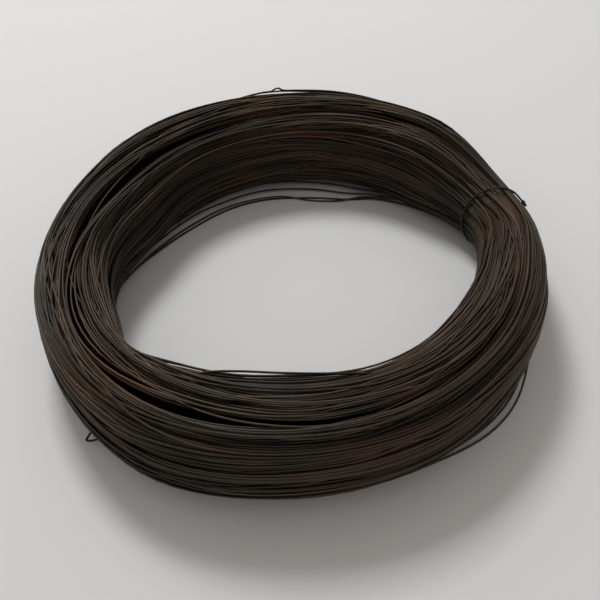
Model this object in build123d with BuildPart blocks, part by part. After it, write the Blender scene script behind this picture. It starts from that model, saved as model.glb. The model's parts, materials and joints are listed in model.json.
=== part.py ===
"""A coil of annealed wire, lying flat and gathered at one place by a wire tie."""
import math
import os

from build123d import *

# The wire, in millimetres; a wire drawn by itself has a few flat sides
WIRE_DIAMETER = 1.2
WIRE_SIDES = 6

# The coil as it lies, in millimetres
COIL_DIAMETER = 300.0
BORE_DIAMETER = 208.0
COIL_HEIGHT = 64.0

# How square the bundle's outline is, and its upright and level faces
LOOSE_SQUARENESS = 2.8
SIDE_WALL_HEIGHT = 9.0
FOOT_WIDTH = 6.5

# The valleys between the hanks of turns, from the outside by way of the top and the bore
# to the foot: each one's place round the outline in degrees, and its depth
VALLEYS = (
    (20.0, 3.0),
    (47.0, 4.5),
    (91.0, 7.0),
    (134.0, 3.0),
    (160.0, 4.5),
    (200.0, 3.0),
    (226.0, 3.0),
    (250.0, 3.0),
    (290.0, 3.0),
    (316.0, 3.0),
    (340.0, 3.0),
)
TOP_HANKS = (1, 2)
BORE_HANK = 4
FOOT_HANK = 7
OUTER_HANK = 10
CROWN_SHARES = (0.26, 0.5, 0.74)

# The gathered place under the tie, in degrees and millimetres
TIE_ANGLE = 20.0
GATHER_REACH = 32.0
GATHER_STATIONS = 6
GATHERED_WIDTH = 32.0
GATHERED_HEIGHT = 48.0
GATHERED_LIFT = 2.5
GATHERED_SHIFT = 6.5
GATHERED_SQUARENESS = 2.0
GATHERED_DEPTH_SHARE = 0.4

# The tie round the gathered place, in millimetres and degrees
TIE_CLEARANCE = 1.2
TIE_SLANT = -22.0
TWIST_TURN = 40.0
TWIST_LENGTH = 4.5
TWIST_PITCH = 4.5
TWIST_BITE = 0.08

# The wire's bent end at the foot of the coil, in millimetres and degrees
END_ANGLE = 223.0
END_HEIGHT = 6.0
END_REACH = 8.0
END_WIDTH = 9.0
END_ROOT = 5.0
END_BEND_RADIUS = 1.8

# Sizes and places that follow from them
bundle_width = (COIL_DIAMETER - BORE_DIAMETER) / 2
centre_radius = (COIL_DIAMETER + BORE_DIAMETER) / 4
wire_radius = WIRE_DIAMETER / 2
gathered_radius = centre_radius + GATHERED_SHIFT
gathered_middle = GATHERED_LIFT + GATHERED_HEIGHT / 2
tie_stand_off = TIE_CLEARANCE + wire_radius
twist_radius = wire_radius - TWIST_BITE


def outline_point(turn, half_width, half_height, squareness):
    """A point on the bundle's outline, seen from the bundle's middle."""
    across, up = math.cos(turn), math.sin(turn)
    swell = (abs(across) ** squareness + abs(up) ** squareness) ** (-1 / squareness)
    return Vector(half_width * across, half_height * up) * swell


def gather_share(away):
    """0 where the bundle lies loose, 1 under the tie, with an even rise between them."""
    return (1 + math.cos(math.pi * away / GATHER_REACH)) / 2


def section_plane(angle):
    """Upright plane through the coil's axis: its x runs outward and its y runs up."""
    outward = Vector(math.cos(math.radians(angle)), math.sin(math.radians(angle)), 0)
    return Plane(origin=(0, 0, 0), x_dir=outward, z_dir=outward.cross(Vector(0, 0, 1)))


def bundle_section(away):
    """The bundle's outline at one station: crowned hanks of turns, parted by valleys.

    The hanks at the bore and the outside have upright walls, the one at the foot is level, and
    the two at the top rise to the coil's height.
    """
    share = gather_share(away)
    half_width = (bundle_width + share * (GATHERED_WIDTH - bundle_width)) / 2
    half_height = (COIL_HEIGHT + share * (GATHERED_HEIGHT - COIL_HEIGHT)) / 2
    squareness = LOOSE_SQUARENESS + share * (GATHERED_SQUARENESS - LOOSE_SQUARENESS)
    depth_share = 1 + share * (GATHERED_DEPTH_SHARE - 1)
    middle = Vector(centre_radius + share * GATHERED_SHIFT, half_height + share * GATHERED_LIFT)
    half_wall = SIDE_WALL_HEIGHT / COIL_HEIGHT * half_height
    half_foot = FOOT_WIDTH / bundle_width * half_width
    outline = []
    for hank, (turn, depth) in enumerate(VALLEYS):
        valley = outline_point(math.radians(turn), half_width, half_height, squareness)
        outline.append(middle + valley * (1 - depth * depth_share / valley.length))
        if hank == OUTER_HANK:
            outline += [middle + Vector(half_width, side * half_wall) for side in (-1, 1)]
        elif hank == BORE_HANK:
            outline += [middle + Vector(-half_width, side * half_wall) for side in (1, -1)]
        elif hank == FOOT_HANK:
            outline += [middle + Vector(side * half_foot, -half_height) for side in (-1, 1)]
        else:
            reach = VALLEYS[hank + 1][0] - turn
            for place in CROWN_SHARES:
                angle = math.radians(turn + place * reach)
                crown = outline_point(angle, half_width, half_height, squareness)
                if hank in TOP_HANKS and place == CROWN_SHARES[1]:
                    crown += Vector(0, (1 - share) * (half_height - crown.Y))
                outline.append(middle + crown)
    with BuildSketch(section_plane(TIE_ANGLE + away)) as section:
        with BuildLine():
            Polyline(outline, close=True)
        make_face()
    return section.sketch


def wire_coil():
    """The coil: turned through its loose part, and drawn in evenly under the tie."""
    stations = range(-GATHER_STATIONS, GATHER_STATIONS + 1)
    aways = [GATHER_REACH * station / GATHER_STATIONS for station in stations]
    with BuildPart() as coil:
        loft(sections=[bundle_section(away) for away in aways], ruled=True)
        revolve(bundle_section(GATHER_REACH), axis=Axis.Z, revolution_arc=360 - 2 * GATHER_REACH)
        add(wire_end())
    coil.part.label = "wire_coil"
    return coil.part


def wire_end():
    """The wire's end: it comes out of the foot of the bundle and bends back in."""
    sink = 1 - END_HEIGHT / (COIL_HEIGHT / 2)
    half_width = bundle_width / 2 * (1 - sink ** LOOSE_SQUARENESS) ** (1 / LOOSE_SQUARENESS)
    face = centre_radius + half_width
    with BuildPart() as end:
        with BuildLine(Plane.XY.offset(END_HEIGHT).rotated((0, 0, END_ANGLE))) as path:
            FilletPolyline(
                (face - END_ROOT, END_WIDTH / 2),
                (face + END_REACH, 0),
                (face - END_ROOT, -END_WIDTH / 2),
                radius=END_BEND_RADIUS,
            )
        with BuildSketch(path.line ^ 0):
            RegularPolygon(wire_radius, WIRE_SIDES)
        sweep(path=path.line)
    return end.part


def twist_strand():
    """One strand of the tie's twisted ends, standing on the origin along Z."""
    with BuildPart() as strand:
        with BuildLine() as path:
            Helix(TWIST_PITCH, TWIST_LENGTH, twist_radius)
        with BuildSketch(path.line ^ 0):
            RegularPolygon(wire_radius, WIRE_SIDES)
        sweep(path=path.line, is_frenet=True)
    return strand.part


def tie_wire():
    """The tie: one loop drawn tight round the gathered bundle, its ends twisted together."""
    middle = section_plane(TIE_ANGLE).from_local_coords((gathered_radius, gathered_middle, 0))
    slanted = section_plane(TIE_ANGLE + TIE_SLANT)
    plane = Plane(origin=middle, x_dir=slanted.x_dir, z_dir=slanted.z_dir)
    half_width = GATHERED_WIDTH / 2 / math.cos(math.radians(TIE_SLANT)) + tie_stand_off
    half_height = GATHERED_HEIGHT / 2 + tie_stand_off
    across, up = math.cos(math.radians(TWIST_TURN)), math.sin(math.radians(TWIST_TURN))
    knot = plane.from_local_coords((half_width * across, half_height * up, 0))
    down = plane.from_local_coords(Vector(half_width * up, -half_height * across, 0)) - middle
    with BuildPart() as tie:
        with BuildLine(plane) as loop:
            EllipticalCenterArc((0, 0), half_width, half_height, arc_size=360)
        with BuildSketch(loop.line ^ 0):
            RegularPolygon(wire_radius, WIRE_SIDES)
        sweep(path=loop.line)
        with Locations(Plane(origin=knot, z_dir=down).location):
            with PolarLocations(0, 2):
                add(twist_strand())
    tie.part.label = "tie_wire"
    return tie.part


os.makedirs("parts", exist_ok=True)
for piece in (wire_coil(), tie_wire()):
    export_step(piece, f"parts/{piece.label}.step")
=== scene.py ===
"""A coil of annealed wire, with every turn drawn, lying on a plain pale floor."""
import json
import math

import bpy
import numpy as np
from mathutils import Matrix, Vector


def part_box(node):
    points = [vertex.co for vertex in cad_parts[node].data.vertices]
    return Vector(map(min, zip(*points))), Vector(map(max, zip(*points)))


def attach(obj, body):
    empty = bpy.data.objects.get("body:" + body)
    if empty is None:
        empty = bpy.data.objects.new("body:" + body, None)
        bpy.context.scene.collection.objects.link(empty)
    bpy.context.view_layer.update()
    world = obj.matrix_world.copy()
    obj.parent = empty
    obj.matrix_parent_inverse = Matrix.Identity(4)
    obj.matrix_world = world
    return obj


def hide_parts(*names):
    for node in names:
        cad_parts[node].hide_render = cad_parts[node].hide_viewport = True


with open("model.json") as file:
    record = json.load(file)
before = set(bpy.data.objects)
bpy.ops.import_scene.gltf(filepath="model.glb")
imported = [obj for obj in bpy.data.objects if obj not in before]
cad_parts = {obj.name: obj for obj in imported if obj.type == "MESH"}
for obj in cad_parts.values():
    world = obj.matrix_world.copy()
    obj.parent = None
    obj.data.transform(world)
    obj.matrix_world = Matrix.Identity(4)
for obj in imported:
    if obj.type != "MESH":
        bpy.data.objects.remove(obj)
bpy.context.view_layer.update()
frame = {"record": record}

# Sizes below are in millimetres and angles in degrees; MM turns them into the frame's metres
MM = 0.001

# The wire, its turns, and how many points each turn has
WIRE_DIAMETER = 1.2
WIRE_RADIUS = WIRE_DIAMETER / 2
TURNS = 700
STATIONS = 96

# How many pieces the turns are cut into, and how many flat sides each wire is drawn with
PIECES = 5
TURN_SIDES = 6
LOOSE_SIDES = 8
END_SIDES = 12
TIE_SIDES = 12

# The ring, from the frame
coil_low, coil_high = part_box("wire_coil")
tie_low, tie_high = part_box("tie_wire")
eye = next(mount for mount in frame["record"]["mounts"] if mount["name"] == "eye")
coil_radius = (coil_high.y - coil_low.y) / 2 / MM
coil_height = (coil_high.z - coil_low.z) / MM
eye_radius = eye["dims"]["r_mm"]
half_width = (coil_radius - eye_radius) / 2
half_height = coil_height / 2
centre_radius = (coil_radius + eye_radius) / 2
tie_centre = (tie_low + tie_high) / 2 / MM
tie_turn = math.atan2(tie_centre.y, tie_centre.x)
gathered_radius = math.hypot(tie_centre.y, tie_centre.x)

# The ring lies slightly oval, with its long axis between +X and +Y
OVAL_ALONG_X = -1.5
OVAL_ALONG_DIAGONAL = 3.9

# How square the bundle's outline is where it lies loose, and its shape under the tie
LOOSE_SQUARENESS = 2.8
GATHERED_SQUARENESS = 2.0
GATHER_REACH = 32.0
GATHERED_HALF_WIDTH = 17.0
GATHERED_HALF_HEIGHT = 24.8
GATHERED_MIDDLE = 26.5

# Where the bundle's sides stand further out than a plain ring: angle, spread, distance
OUTSIDE_SWELLS = (
    (243, 17, 4.0), (4, 16, -5.5), (130, 22, 6.0), (90, 10, -1.0), (300, 14, 1.5),
)
INSIDE_SWELLS = (
    (156, 14, 4.0), (190, 18, -4.0), (224, 12, -9.5), (268, 20, 6.5), (350, 12, -3.0),
)

# Valleys between the hanks, round the bundle's outline from its outside by way of its top:
# turn, its sway along X and along Y, depth, how the depth changes along X and along Y, width
VALLEYS = (
    (20, 4, -6, 3.0, 0.5, 0.5, 8),
    (47, -3, 6, 5.5, -1.0, -3.0, 9),
    (101, -16, 20, 8.0, -3.0, 1.5, 13),
    (134, -5, 10, 3.0, 0.0, 1.0, 8),
    (160, 5, 6, 5.0, -1.0, 1.5, 9),
    (200, 4, -6, 3.5, 0.0, 0.5, 8),
    (226, -4, -4, 3.0, 0.0, 0.5, 8),
    (250, -4, 0, 3.0, 0.5, 0.0, 7),
    (290, 4, 4, 3.0, 0.0, 0.0, 7),
    (316, 0, -5, 3.0, 0.5, -0.5, 8),
    (340, 5, 4, 3.5, 0.0, -1.0, 8),
)
VALLEY_STEEPNESS = 1.5

# Where the hanks lie close and the valleys between them fill up: angle, spread, share filled,
# and the share filled under the tie
FILLED = ((216, 24, 0.9), (350, 26, 0.4))
GATHERED_FILLED = 0.6

# The seed of the random draws, and the lane in which the wire starts: it lies midway between the
# first two valleys
SEED = 7
FIRST_LANE = 0.5

# How a turn keeps to a hank and changes to another: how many turns it stays, how many turns the
# change takes, and how many hanks it steps
STAY = (9, 24)
CHANGE = (0.8, 1.8)
LANE_STEPS = (-3, -2, -1, 1, 2, 3, 4)

# How far a turn strays from the middle of its hank, as a share of the hank, and over how many turns
# that changes: as a whole, and in waves round the ring, given as number, share and turns;
# FILLED_STRAY is how much further it strays where the valleys are filled
STRAY = (0.36, 4.3)
STRAY_WAVES = ((1, 0.30, 9), (2, 0.09, 8), (3, 0.03, 6), (5, 0.008, 3))
FILLED_STRAY = 1.2

# How deep the turns start in the bundle, and how much of the way to its middle is left at least
DEPTH = 4.2
DEPTH_SWINGS = ((6.0, 2.3), (0.8, 0.7))
INNERMOST = 0.08

# How deep below the outline a turn is kept at least, and how far it is let into the valleys:
# mean, swing, and over how many turns it changes
LEAST_DEPTH = (1.5, 2.9, 1.7)
SLACK = (1.0, 1.5, 1.3)

# How the turns settle: the number of rounds, after how many rounds and within what reach near
# turns are listed again, and how far each round pushes, spreads and straightens them
FULL_ROUNDS = 160
LIST_ROUNDS = 8
LIST_REACH = 1.7 * WIRE_DIAMETER
PUSH = 0.42
SPREAD = 0.02
SPRING = 0.05

# The share of its distance that a turn keeps at least when it is drawn in, how many square cells
# the section is cut into each way, and what keeps a distance from being zero
LEAST_KEPT = 0.05
CELLS = 400
TINY = 1e-9
TINY_GAP = 1e-6

# Loose turns that stand away from the bundle, as angle, distance from the axis and height;
# their ends run on inside the bundle. Four lie at the inner foot at the back, two at the outer
# foot at the right front, one over the eye at the front, two on the outside at the left and two
# on the top at the back, where one has a kink
LOOSE_TURNS = (
    ((186, 118, 8), (176, 110, 5), (167, 106, 3), (153, 99.5, 1.6), (138, 96.5, 0.8),
     (120, 97.5, 0.7), (104, 98.5, 0.7), (85, 98.5, 0.7), (69, 103, 0.9), (61, 110, 1.5),
     (50, 116, 2.5), (38, 122, 4), (28, 128, 9)),
    ((180, 116, 7), (170, 107, 4), (158, 102.5, 2.4), (140, 98.8, 1.9), (118, 99.5, 1.9),
     (97, 99.2, 1.7), (84, 95.6, 0.8), (73, 98.6, 1.2), (64, 108.5, 2.0), (52, 117.5, 3.6),
     (36, 125, 8)),
    ((184, 116, 9), (172, 111, 6), (160, 106.5, 4.5), (134, 103.5, 3.4), (118, 104, 3.1),
     (103, 106.5, 2.6), (85, 107, 1.9), (72, 107.5, 2.0), (60, 113, 3.4), (46, 121, 6),
     (34, 128, 12)),
    ((178, 116, 11), (164, 110, 7), (149, 106, 5.5), (129, 106.5, 4.6), (116, 109.5, 4.3),
     (100, 113, 4), (80, 113, 3.6), (66, 113.5, 4), (52, 119, 6.5), (40, 126, 12)),
    ((340, 141, 22), (334.5, 144, 12), (329.4, 146, 6.5), (325.5, 146.8, 3.4), (321, 146.6, 1.6),
     (315.5, 145.4, 0.8), (309, 143, 0.7), (301, 140, 0.7), (292.7, 138.8, 0.9),
     (284, 137.5, 1.8), (276, 134, 5), (268, 129, 9)),
    ((342, 139, 20), (334, 142, 11), (326, 143.4, 6), (318, 142.6, 3.6), (310, 140.6, 2.4),
     (302, 138.2, 1.8), (294, 136.4, 1.8), (286, 134.5, 3), (278, 130, 6)),
    ((240, 121, 52), (248, 112.5, 56.6), (256, 108.8, 58.6), (264, 107.6, 59.4),
     (272, 107.4, 59.2), (281, 108.6, 58.2), (290, 112, 56.5), (300, 119, 53)),
    ((148, 138, 48), (154, 144, 45), (161, 148.8, 41), (168, 149.6, 36), (176, 148.0, 31),
     (184, 143, 27)),
    ((152, 139, 42), (158, 145.5, 39), (165, 149.2, 34), (172, 148.6, 29), (180, 143, 24)),
    ((118, 136, 52), (112, 141.5, 55), (104, 144.4, 57), (99.5, 145.6, 57.8), (97, 145.9, 58.2),
     (96, 146.8, 59.2), (95, 147, 59.4), (94, 146.2, 58.4), (90, 146.2, 58), (84, 147, 57.8),
     (78, 147.6, 57.4), (71, 147.6, 56.6), (63, 147.2, 55), (55, 145.6, 52.6), (47, 141, 50)),
    ((110, 138, 54), (103, 144.5, 57), (96, 146.4, 57.4), (88, 146.8, 56.8), (80, 147.4, 56.4),
     (73, 149.2, 54.8), (65, 148.4, 53), (57, 145, 52), (50, 139, 51)),
)

# The bent end of the wire at the coil's foot, in the same terms
WIRE_END = (
    (219.8, 138, 8), (221.2, 142.5, 6.6), (222.4, 146.4, 5.2), (223.2, 149.4, 4.2),
    (223.7, 152.4, 4.0), (224.3, 155.0, 3.9), (225.0, 153.4, 3.7), (225.6, 150.6, 3.8),
    (226.2, 147.2, 5), (227.2, 143, 6.5), (228.4, 138, 8),
)
LINE_STEPS = 8

# The tie: a loop round the gathered bundle, in an upright plane turned a little off the section,
# from which it sways a little
TIE_SLANT = -24
TIE_HALF_WIDTH = 19.2
TIE_HALF_HEIGHT = 25.3
TIE_SWAY = 0.5
TIE_POINTS = 120
TIE_SMOOTHINGS = 3

# The tie's twisted ends: their place round the loop, the gap between them there in radians, how
# far they stand proud of it, their length, the length of one twist, and at which share of their
# length the twist starts
TIE_TWIST_TURN = 38
TIE_TWIST_GAP = 0.03
TIE_TWIST_PROUD = 0.9
TIE_TWIST_LENGTH = 5.2
TIE_TWIST_PITCH = 3.6
TIE_TWIST_START = 0.12
TIE_TWIST_POINTS = 30


def bump(turns, angle, spread):
    """1 at an angle of the ring, falling to 0 round it."""
    away = (turns - math.radians(angle) + math.pi) % (2 * math.pi) - math.pi
    return np.exp(-(away / math.radians(spread)) ** 2)


def gather_share(turns):
    """0 where the bundle lies loose, 1 under the tie."""
    away = np.abs((turns - tie_turn + math.pi) % (2 * math.pi) - math.pi)
    reach = math.radians(GATHER_REACH)
    return np.where(away < reach, (1 + np.cos(math.pi * np.minimum(away / reach, 1))) / 2, 0)


class Bundle:
    """The outline of the bundle at every station round the ring."""

    def __init__(self, turns):
        share = gather_share(turns)
        self.turns = turns
        oval = OVAL_ALONG_X * np.cos(2 * turns) + OVAL_ALONG_DIAGONAL * np.sin(2 * turns)
        self.centre = centre_radius + oval + share * (gathered_radius - centre_radius - oval)
        self.middle = half_height + share * (GATHERED_MIDDLE - half_height)
        loose_out = half_width + sum(far * bump(turns, at, wide) for at, wide, far in OUTSIDE_SWELLS)
        loose_in = half_width + sum(far * bump(turns, at, wide) for at, wide, far in INSIDE_SWELLS)
        self.out = loose_out + share * (GATHERED_HALF_WIDTH - loose_out)
        self.inward = loose_in + share * (GATHERED_HALF_WIDTH - loose_in)
        self.half_height = half_height + share * (GATHERED_HALF_HEIGHT - half_height)
        self.squareness = LOOSE_SQUARENESS + share * (GATHERED_SQUARENESS - LOOSE_SQUARENESS)
        self.filled = sum(filled * bump(turns, at, wide) for at, wide, filled in FILLED)
        open_share = (1 - GATHERED_FILLED * share) * (1 - self.filled)
        cosines, sines = np.cos(turns), np.sin(turns)
        self.valleys = [
            (
                np.radians(turn + sway_x * cosines + sway_y * sines),
                (depth + more_x * cosines + more_y * sines) * open_share,
                math.radians(width),
            )
            for turn, sway_x, sway_y, depth, more_x, more_y, width in VALLEYS
        ]

    def half_across(self, station, across):
        """Half the width of the bundle, on the side where across points."""
        return np.where(across > 0, self.out[station], self.inward[station])

    def dip(self, station, angle):
        """How deep the valleys are at an angle of the outline."""
        depth = np.zeros(len(angle))
        for turn, deep, width in self.valleys:
            away = (angle - turn[station] + math.pi) % (2 * math.pi) - math.pi
            depth += deep[station] * np.exp(-np.abs(away / width) ** VALLEY_STEEPNESS)
        return depth

    def angle_of_lane(self, station, lane):
        """The outline's angle for a lane: whole lanes run along valleys, halves along hanks."""
        count = len(self.valleys)
        table = np.stack([turn for turn, deep, width in self.valleys])
        first = np.floor(lane).astype(int)
        share = lane - first
        low = table[first % count, station] + 2 * math.pi * (first // count)
        high = table[(first + 1) % count, station] + 2 * math.pi * ((first + 1) // count)
        return low + share * (high - low)

    def rim(self, station, angle):
        """The outline's point at an angle, seen from the bundle's middle."""
        across, up = np.cos(angle), np.sin(angle)
        square = self.squareness[station]
        swell = (np.abs(across) ** square + np.abs(up) ** square) ** (-1 / square)
        out = self.half_across(station, across) * across * swell
        return np.stack([out, self.half_height[station] * up * swell], 1)

    def keep_in(self, station, places, depth, slack):
        """Draw places that stand outside the outline, less a depth, back to it.

        The slack is how far down into the valleys a turn is let, from 0, across them, to 1.
        """
        width = self.half_across(station, places[:, 0])
        height = self.half_height[station]
        square = self.squareness[station]
        across, up = np.abs(places[:, 0]) / width, np.abs(places[:, 1]) / height
        level = (across ** square + up ** square) ** (1 / square) + TINY
        angle = np.arctan2(places[:, 1] / height, places[:, 0] / width)
        distance = np.hypot(places[:, 0], places[:, 1]) + TINY
        room = WIRE_RADIUS + depth + slack * self.dip(station, angle)
        limit = 1 - room * level / distance
        factor = np.where(level > limit, limit / level, 1)
        return places * np.maximum(factor, LEAST_KEPT)[:, None]

    def point(self, station, places):
        """Places in the section as points of the frame."""
        radius = self.centre[station] + places[:, 0]
        turn = self.turns[station]
        height = self.middle[station] + places[:, 1]
        return np.stack([radius * np.cos(turn), radius * np.sin(turn), height], 1)


def drift(rng, count, turns):
    """A value between about -1 and 1 that wanders smoothly, with a new aim every so many turns."""
    period = turns * STATIONS
    knots = rng.uniform(-1, 1, int(count / period) + 4)
    at = np.arange(count) / period + 1
    first = at.astype(int)
    share = at - first
    a, b, c, d = (knots[first + step] for step in (-1, 0, 1, 2))
    return b + share / 2 * (c - a + share * (2 * a - 5 * b + 4 * c - d + share * (3 * (b - c) + d - a)))


def lay_lanes(rng, count, filled):
    """The lane and the depth of the wire at every point along it, as it was wound."""
    lane = np.zeros(count)
    at, home = 0, FIRST_LANE
    while at < count:
        stay = int(STATIONS * rng.uniform(*STAY))
        change = int(STATIONS * rng.uniform(*CHANGE))
        step = rng.choice(LANE_STEPS)
        lane[at:at + stay] = home
        end = min(at + stay + change, count)
        ramp = np.linspace(0, 1, change)[:max(end - at - stay, 0)]
        lane[at + stay:end] = home + step * ramp * ramp * (3 - 2 * ramp)
        home += step
        at += stay + change
    size, period = STRAY
    stray = size * drift(rng, count, period)
    along = np.arange(count) / STATIONS
    for wave, size, period in STRAY_WAVES:
        for shift in (0, math.pi / 2):
            swing = drift(rng, count, period)
            stray += size * swing * np.sin(2 * math.pi * wave * along + shift)
    depth = np.full(count, DEPTH)
    for size, period in DEPTH_SWINGS:
        depth += size * drift(rng, count, period)
    return (lane + stray * (1 + FILLED_STRAY * filled)) % len(VALLEYS), np.maximum(depth, 0)


def near_pairs(station, places, reach):
    """Pairs of points at the same station that are nearer than a reach.

    The points are sorted into square cells as wide as the reach, and each cell is held against
    itself and four of its neighbours, so that every pair comes once.
    """
    across = np.floor(places[:, 0] / reach).astype(np.int64) + CELLS // 2
    up = np.floor(places[:, 1] / reach).astype(np.int64) + CELLS // 2
    key = (station * CELLS + across) * CELLS + up
    order = np.argsort(key, kind="stable")
    sorted_key = key[order]
    pairs = []
    for step in (0, 1, CELLS - 1, CELLS, CELLS + 1):
        low = np.searchsorted(sorted_key, sorted_key + step, "left")
        high = np.searchsorted(sorted_key, sorted_key + step, "right")
        if step == 0:
            low = np.arange(len(order)) + 1
        count = np.maximum(high - low, 0)
        first = np.repeat(np.arange(len(order)), count)
        offset = np.arange(count.sum()) - np.repeat(np.cumsum(count) - count, count)
        second = np.repeat(low, count) + offset
        pairs.append(np.stack([order[first], order[second]]))
    pairs = np.concatenate(pairs, 1)
    gap = places[pairs[0]] - places[pairs[1]]
    return pairs[:, (gap ** 2).sum(1) < reach ** 2]


def settle(bundle, station, places, least_depth, slack):
    """Push the turns apart until they lie beside and on each other, as one springy wire."""
    count = len(places)
    for step in range(FULL_ROUNDS):
        if step % LIST_ROUNDS == 0:
            first, second = near_pairs(station, places, LIST_REACH)
        gap = places[first] - places[second]
        distance = np.sqrt((gap ** 2).sum(1)) + TINY_GAP
        push = np.maximum(WIRE_DIAMETER - distance, 0) / distance * PUSH
        for axis in (0, 1):
            shove = gap[:, axis] * push
            places[:, axis] += np.bincount(first, shove, count) - np.bincount(second, shove, count)
        distance = np.hypot(places[:, 0], places[:, 1])[:, None]
        places *= 1 + SPREAD / np.maximum(distance, 1)
        bend = np.zeros_like(places)
        bend[2:-2] = places[:-4] - 4 * places[1:-3] + 6 * places[2:-2] - 4 * places[3:-1] + places[4:]
        places -= SPRING * bend
        places = bundle.keep_in(station, places, least_depth, slack)
    return places


def add_object(name, data):
    """A new object in the scene."""
    added = bpy.data.objects.new(name, data)
    bpy.context.scene.collection.objects.link(added)
    return added


# How far apart two wires are taken in the pattern of the scale, and how steep a wire may run
# before its sides are carried along it and no longer taken from the upright
STRAND_STEP = 7.31
STEEP = 0.9


def square_to(ahead):
    """A direction square to the wire at each of its points, which turns smoothly along it."""
    up = np.array([0.0, 0.0, 1.0])
    if np.abs(ahead @ up).max() < STEEP:
        side = np.cross(ahead, up)
    else:
        reference = np.array([1.0, 0.0, 0.0]) if abs(ahead[0] @ up) > STEEP else up
        side = np.zeros_like(ahead)
        side[0] = np.cross(ahead[0], reference)
        for index in range(1, len(ahead)):
            side[index] = side[index - 1] - ahead[index] * (side[index - 1] @ ahead[index])
            side[index] /= np.linalg.norm(side[index])
    return side / np.linalg.norm(side, axis=1)[:, None]


def tube(name, lines, sides):
    """A round wire along each line of points, in one mesh, with its length and number kept on it.

    In the mesh's texture map, each wire has a row of its own.
    """
    corners, faces, along, strand, spread = [], [], [], [], []
    start = 0
    turns = 2 * math.pi * np.arange(sides) / sides
    cosines, sines = np.cos(turns)[None, :, None], np.sin(turns)[None, :, None]
    for row, line in enumerate(lines):
        count = len(line)
        ahead = np.gradient(line, axis=0)
        ahead /= np.linalg.norm(ahead, axis=1)[:, None]
        side = square_to(ahead)
        ring = side[:, None] * cosines + np.cross(ahead, side)[:, None] * sines
        corners.append((line[:, None] + WIRE_RADIUS * ring).reshape(-1, 3))
        station, edge = np.meshgrid(np.arange(count - 1), np.arange(sides), indexing="ij")
        a = start + station * sides + edge
        b = start + station * sides + (edge + 1) % sides
        faces.append(np.stack([a, b, b + sides, a + sides], -1).reshape(-1, 4))
        steps = np.linalg.norm(np.diff(line, axis=0), axis=1)
        length = np.concatenate([[0], np.cumsum(steps)]) * MM
        along.append(np.repeat(length, sides))
        strand.append(np.full(count * sides, STRAND_STEP * row))
        wide = np.stack([station, station, station + 1, station + 1], -1) / (count - 1)
        high = (np.stack([edge, edge + 1, edge + 1, edge], -1) + 0.5) / (sides + 1)
        spread.append(np.stack([wide, (row + high) / len(lines)], -1).reshape(-1, 2))
        start += count * sides
    return make_mesh(name, corners, faces, along, strand, spread)


def make_mesh(name, corners, faces, along, strand, spread):
    """A smooth mesh of four-cornered faces, with the wire's own coordinates."""
    corners, faces = np.concatenate(corners) * MM, np.concatenate(faces)
    mesh = bpy.data.meshes.new(name)
    mesh.vertices.add(len(corners))
    mesh.vertices.foreach_set("co", corners.ravel())
    mesh.loops.add(faces.size)
    mesh.loops.foreach_set("vertex_index", faces.ravel())
    mesh.polygons.add(len(faces))
    mesh.polygons.foreach_set("loop_start", np.arange(0, faces.size, 4))
    mesh.update(calc_edges=True)
    mesh.polygons.foreach_set("use_smooth", np.ones(len(faces), bool))
    for title, values in (("along", along), ("strand", strand)):
        layer = mesh.attributes.new(title, "FLOAT", "POINT")
        layer.data.foreach_set("value", np.concatenate(values))
    layer = mesh.uv_layers.new(name="OFBake")
    layer.data.foreach_set("uv", np.concatenate(spread).ravel())
    mesh.validate()
    return add_object(name, mesh)


def between(at, first, last, a, b):
    """The values that go evenly from a at the first knot to b at the last."""
    return (last - at) / (last - first) * a + (at - first) / (last - first) * b


def smooth_line(points):
    """A smooth line through points given as angle, distance from the axis and height.

    It is a spline whose knots are spaced by the square roots of the points' distances.
    """
    points = np.array(points, float)
    turns = np.radians(points[:, 0])
    points = np.stack([points[:, 1] * np.cos(turns), points[:, 1] * np.sin(turns), points[:, 2]], 1)
    points = np.concatenate([[2 * points[0] - points[1]], points, [2 * points[-1] - points[-2]]])
    gaps = np.linalg.norm(np.diff(points, axis=0), axis=1)
    knots = np.concatenate([[0], np.cumsum(gaps ** 0.5)])
    line = []
    for first in range(1, len(points) - 2):
        p, k = points[first - 1:first + 3], knots[first - 1:first + 3]
        last = first == len(points) - 3
        at = np.linspace(k[1], k[2], LINE_STEPS, endpoint=last)[:, None]
        a = [between(at, k[i], k[i + 1], p[i], p[i + 1]) for i in range(3)]
        b = [between(at, k[i], k[i + 2], a[i], a[i + 1]) for i in range(2)]
        line.append(between(at, k[1], k[2], b[0], b[1]))
    return np.concatenate(line)


# The shine of the annealing scale: its index and tint, the least and the most roughness, and how
# fine and how detailed the pattern of the roughness is
SCALE_IOR = 1.36
SCALE_SHEEN = (1.0, 0.90, 0.80, 1)
ROUGHNESS = (0.34, 0.6)
GRAIN = (45.0, 3.0)

# Patterns of the scale: how fine and how detailed each is, and where it starts and is full
BROWN = (3.0, 3.0, 0.45, 0.63)
RUST_PATCHES = (14.0, 2.0, 0.46, 0.72)
RUST_STREAKS = (9.0, 3.0, 0.46, 0.62)
RUST_FLECKS = (26.0, 3.0, 0.68, 0.76)
RUBBED_STREAKS = (9.0, 3.0, 0.38, 0.56)

# Where the turns rub and rust more, as points of the frame, and how far round each
RUST_PLACES = ((129.9, -75.0, 30), (-140.3, -45.6, 30))
RUST_SPREAD = 22.0

# The wire's tints and the tie's: dark, brown and rust
WIRE_TINTS = ((0.005, 0.004, 0.0032), (0.056, 0.039, 0.0255), (0.085, 0.038, 0.018))
TIE_TINTS = ((0.012, 0.009, 0.007), (0.045, 0.029, 0.018), (0.12, 0.05, 0.02))


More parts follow.
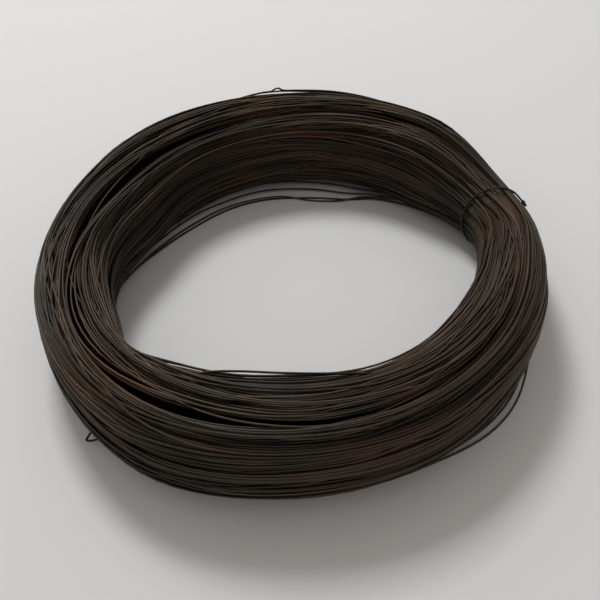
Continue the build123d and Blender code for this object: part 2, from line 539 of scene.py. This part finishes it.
def wire_material(name, dark, brown, rust):
    """Dark annealing scale over steel, browner here and there, with a little thin rust."""
    material = bpy.data.materials.new(name)
    material.use_nodes = True
    nodes, links = material.node_tree.nodes, material.node_tree.links
    shader = nodes["Principled BSDF"]
    shader.inputs["Metallic"].default_value = 0.0
    shader.inputs["IOR"].default_value = SCALE_IOR
    shader.inputs["Specular Tint"].default_value = SCALE_SHEEN

    def noise(vector, fineness, detail):
        node = nodes.new("ShaderNodeTexNoise")
        node.inputs["Scale"].default_value = fineness
        node.inputs["Detail"].default_value = detail
        links.new(vector, node.inputs["Vector"])
        return node.outputs["Fac"]

    def ramp(value, low, high, least=0.0, most=1.0):
        node = nodes.new("ShaderNodeMapRange")
        for end, number in (("From Min", low), ("From Max", high), ("To Min", least), ("To Max", most)):
            node.inputs[end].default_value = number
        links.new(value, node.inputs["Value"])
        return node.outputs["Result"]

    def pattern(vector, fineness, detail, low, high):
        return ramp(noise(vector, fineness, detail), low, high)

    def both(first, second):
        node = nodes.new("ShaderNodeMath")
        node.operation = "MULTIPLY"
        links.new(first, node.inputs[0])
        links.new(second, node.inputs[1])
        return node.outputs["Value"]

    def mix(factor, first, second):
        node = nodes.new("ShaderNodeMix")
        node.data_type = "RGBA"
        links.new(factor, node.inputs["Factor"])
        for socket, value in (("A", first), ("B", second)):
            target = next(i for i in node.inputs if i.name == socket and i.type == "RGBA")
            if isinstance(value, tuple):
                target.default_value = (*value, 1)
            else:
                links.new(value, target)
        return next(o for o in node.outputs if o.type == "RGBA")

    on_wire = nodes.new("ShaderNodeCombineXYZ")
    for title, axis in (("along", "X"), ("strand", "Y")):
        node = nodes.new("ShaderNodeAttribute")
        node.attribute_name = title
        links.new(node.outputs["Fac"], on_wire.inputs[axis])
    on_wire = on_wire.outputs["Vector"]
    in_frame = nodes.new("ShaderNodeTexCoord").outputs["Object"]
    tint = mix(pattern(on_wire, *BROWN), dark, brown)
    patches, streaks = pattern(in_frame, *RUST_PATCHES), pattern(on_wire, *RUST_STREAKS)
    tint = mix(both(patches, streaks), tint, rust)
    tint = mix(pattern(on_wire, *RUST_FLECKS), tint, rust)
    for place in RUST_PLACES:
        away = nodes.new("ShaderNodeVectorMath")
        away.operation = "DISTANCE"
        away.inputs[1].default_value = Vector(place) * MM
        links.new(in_frame, away.inputs[0])
        near = ramp(away.outputs["Value"], RUST_SPREAD * MM, 0)
        tint = mix(both(near, pattern(on_wire, *RUBBED_STREAKS)), tint, rust)
    links.new(tint, shader.inputs["Base Color"])
    links.new(ramp(noise(in_frame, *GRAIN), 0, 1, *ROUGHNESS), shader.inputs["Roughness"])
    return material


def dress(piece, material, slot, *nodes):
    """Give a piece its material and its body, and hide the nodes it stands for."""
    piece.data.materials.append(material)
    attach(piece, "root")
    if nodes:
        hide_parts(*nodes)


def build_turns(material):
    """Every turn of the coil, as one wire, cut into pieces only by its number of faces."""
    rng = np.random.default_rng(SEED)
    count = TURNS * STATIONS
    station = np.arange(count) % STATIONS
    bundle = Bundle(2 * math.pi * np.arange(STATIONS) / STATIONS)
    lane, depth = lay_lanes(rng, count, bundle.filled[station])
    rim = bundle.rim(station, bundle.angle_of_lane(station, lane))
    distance = np.hypot(rim[:, 0], rim[:, 1])[:, None]
    places = rim * np.maximum(1 - (depth[:, None] + WIRE_RADIUS) / distance, INNERMOST)
    mean, swing, period = LEAST_DEPTH
    least_depth = np.maximum(mean + swing * drift(rng, count, period), 0)
    mean, swing, period = SLACK
    slack = np.clip(mean + swing * drift(rng, count, period), 0, 1)
    places = bundle.keep_in(station, places, least_depth, slack)
    places = settle(bundle, station, places, least_depth, slack)
    points = bundle.point(station, places)
    points[:, 2] = np.maximum(points[:, 2], WIRE_RADIUS)
    share = TURNS // PIECES
    for index in range(PIECES):
        starts = [turn * STATIONS for turn in range(index * share, (index + 1) * share)]
        lines = [points[start:start + STATIONS + 1] for start in starts]
        piece = tube(f"turns_{index + 1}", lines, TURN_SIDES)
        dress(piece, material, "annealed_wire", "wire_coil")


def build_loose_turns(material):
    """The turns that stand away from the bundle, and the bent end at the foot."""
    lines = [smooth_line(points) for points in LOOSE_TURNS]
    dress(tube("loose_turns", lines, LOOSE_SIDES), material, "annealed_wire", "wire_coil")
    end = smooth_line(WIRE_END)
    dress(tube("wire_end", [end], END_SIDES), material, "annealed_wire", "wire_coil")


def build_tie(material):
    """The tie: a loop drawn tight round the bundle, and its two ends twisted together."""
    turn = tie_turn + math.radians(TIE_SLANT)
    middle = np.array([
        gathered_radius * math.cos(tie_turn), gathered_radius * math.sin(tie_turn), GATHERED_MIDDLE,
    ])
    outward, up = np.array([math.cos(turn), math.sin(turn), 0]), np.array([0, 0, 1.0])
    forward = np.cross(outward, up)

    def on_loop(angle, proud=0.0):
        across = (TIE_HALF_WIDTH + proud) * np.cos(angle)[:, None] * outward
        return middle + across + (TIE_HALF_HEIGHT + proud) * np.sin(angle)[:, None] * up

    knot = math.radians(TIE_TWIST_TURN)
    angles = np.linspace(knot + TIE_TWIST_GAP, knot + 2 * math.pi - TIE_TWIST_GAP, TIE_POINTS)
    sway = TIE_SWAY * np.sin(np.linspace(0, 2 * math.pi, TIE_POINTS))[:, None] * forward
    loop = on_loop(angles) + sway
    start = on_loop(np.array([knot]), TIE_TWIST_PROUD)[0]
    down = TIE_HALF_WIDTH * math.sin(knot) * outward - TIE_HALF_HEIGHT * math.cos(knot) * up
    down /= np.linalg.norm(down)
    away = np.cross(down, forward)
    along = np.linspace(TIE_TWIST_START, 1, TIE_TWIST_POINTS)[:, None]
    swirl = 2 * math.pi * TIE_TWIST_LENGTH / TIE_TWIST_PITCH * along
    twist = WIRE_RADIUS * (np.cos(swirl) * away + np.sin(swirl) * forward)
    spine = start + TIE_TWIST_LENGTH * along * down
    line = np.concatenate([(spine + twist)[::-1], loop, spine - twist])
    for step in range(TIE_SMOOTHINGS):
        line[1:-1] = (line[:-2] + 2 * line[1:-1] + line[2:]) / 4
    dress(tube("tie", [line], TIE_SIDES), material, "tie", "tie_wire")


# The floor: how far it reaches from the coil in metres, and its paint
FLOOR_REACH = 6.0
FLOOR_COLOUR = (0.66, 0.66, 0.665, 1)
FLOOR_ROUGHNESS = 0.9
FLOOR_SHINE = 0.1

# The soft light of the room: brightest behind the coil and to its left
BRIGHT_SIDE = (-0.50, 0.83, 0.25)
SKY_COLOUR = (0.84, 0.80, 0.75, 1)
SKY_LEAST = 0.46
SKY_MOST = 0.90

# The lamps: where each stands and how wide it is in metres, its power and its colour
LAMPS = {
    "window": ((-0.45, 0.98, 1.6), 0.5, 22, (0.97, 0.99, 1.0)),
    "wall": ((0.1, -1.2, 0.24), 0.6, 1.6, (1.0, 0.96, 0.88)),
}


def build_floor():
    """A plain pale floor."""
    far = FLOOR_REACH
    mesh = bpy.data.meshes.new("floor")
    corners = [(-far, -far, 0), (far, -far, 0), (far, far, 0), (-far, far, 0)]
    mesh.from_pydata(corners, [], [(0, 1, 2, 3)])
    paint = bpy.data.materials.new("floor")
    paint.use_nodes = True
    shader = paint.node_tree.nodes["Principled BSDF"]
    shader.inputs["Base Color"].default_value = FLOOR_COLOUR
    shader.inputs["Roughness"].default_value = FLOOR_ROUGHNESS
    shader.inputs["Specular IOR Level"].default_value = FLOOR_SHINE
    mesh.materials.append(paint)
    floor = add_object("floor", mesh)


def build_light():
    """Soft light from all round, mostly from behind and the left, and two wide lamps."""
    world = bpy.data.worlds.new("room")
    world.use_nodes = True
    nodes, links = world.node_tree.nodes, world.node_tree.links
    sky = nodes["Background"]
    sky.inputs["Color"].default_value = SKY_COLOUR
    toward = nodes.new("ShaderNodeVectorMath")
    toward.operation = "DOT_PRODUCT"
    toward.inputs[1].default_value = BRIGHT_SIDE
    links.new(nodes.new("ShaderNodeTexCoord").outputs["Generated"], toward.inputs[0])
    strength = nodes.new("ShaderNodeMapRange")
    strength.inputs["To Min"].default_value = SKY_LEAST
    strength.inputs["To Max"].default_value = SKY_MOST
    links.new(toward.outputs["Value"], strength.inputs["Value"])
    links.new(strength.outputs["Result"], sky.inputs["Strength"])
    bpy.context.scene.world = world

    for name, (place, size, power, colour) in LAMPS.items():
        light = bpy.data.lights.new(name, "AREA")
        light.size = size
        light.energy = power
        light.color = colour
        lamp = add_object(name, light)
        lamp.location = place
        lamp.rotation_euler = (-lamp.location).to_track_quat("-Z", "Y").to_euler()


# The camera, from the photograph: distance from its aim, how far it looks down, and its lens
CAMERA_DISTANCE = 458.3
CAMERA_DOWN = 46.2
CAMERA_AIM = (2.0, -30.5, 30.0)
CAMERA_LENS = 48.0
CAMERA_SENSOR = 36.0
CAMERA_CLIP = 10.0


def build_camera():
    """The camera at the photograph's viewing angle."""
    camera = add_object("camera", bpy.data.cameras.new("camera"))
    camera.data.lens = CAMERA_LENS
    camera.data.sensor_width = CAMERA_SENSOR
    camera.data.clip_start = CAMERA_CLIP * MM
    down = math.radians(CAMERA_DOWN)
    back = Vector((0, -math.cos(down), math.sin(down))) * CAMERA_DISTANCE
    camera.location = (Vector(CAMERA_AIM) + back) * MM
    camera.rotation_euler = (-back).to_track_quat("-Z", "Y").to_euler()
    bpy.context.scene.camera = camera


wire = wire_material("annealed_wire", *WIRE_TINTS)
tie = wire_material("tie", *TIE_TINTS)
build_turns(wire)
build_loose_turns(wire)
build_tie(tie)
build_floor()
build_light()
build_camera()
bpy.context.scene.view_settings.view_transform = "Standard"
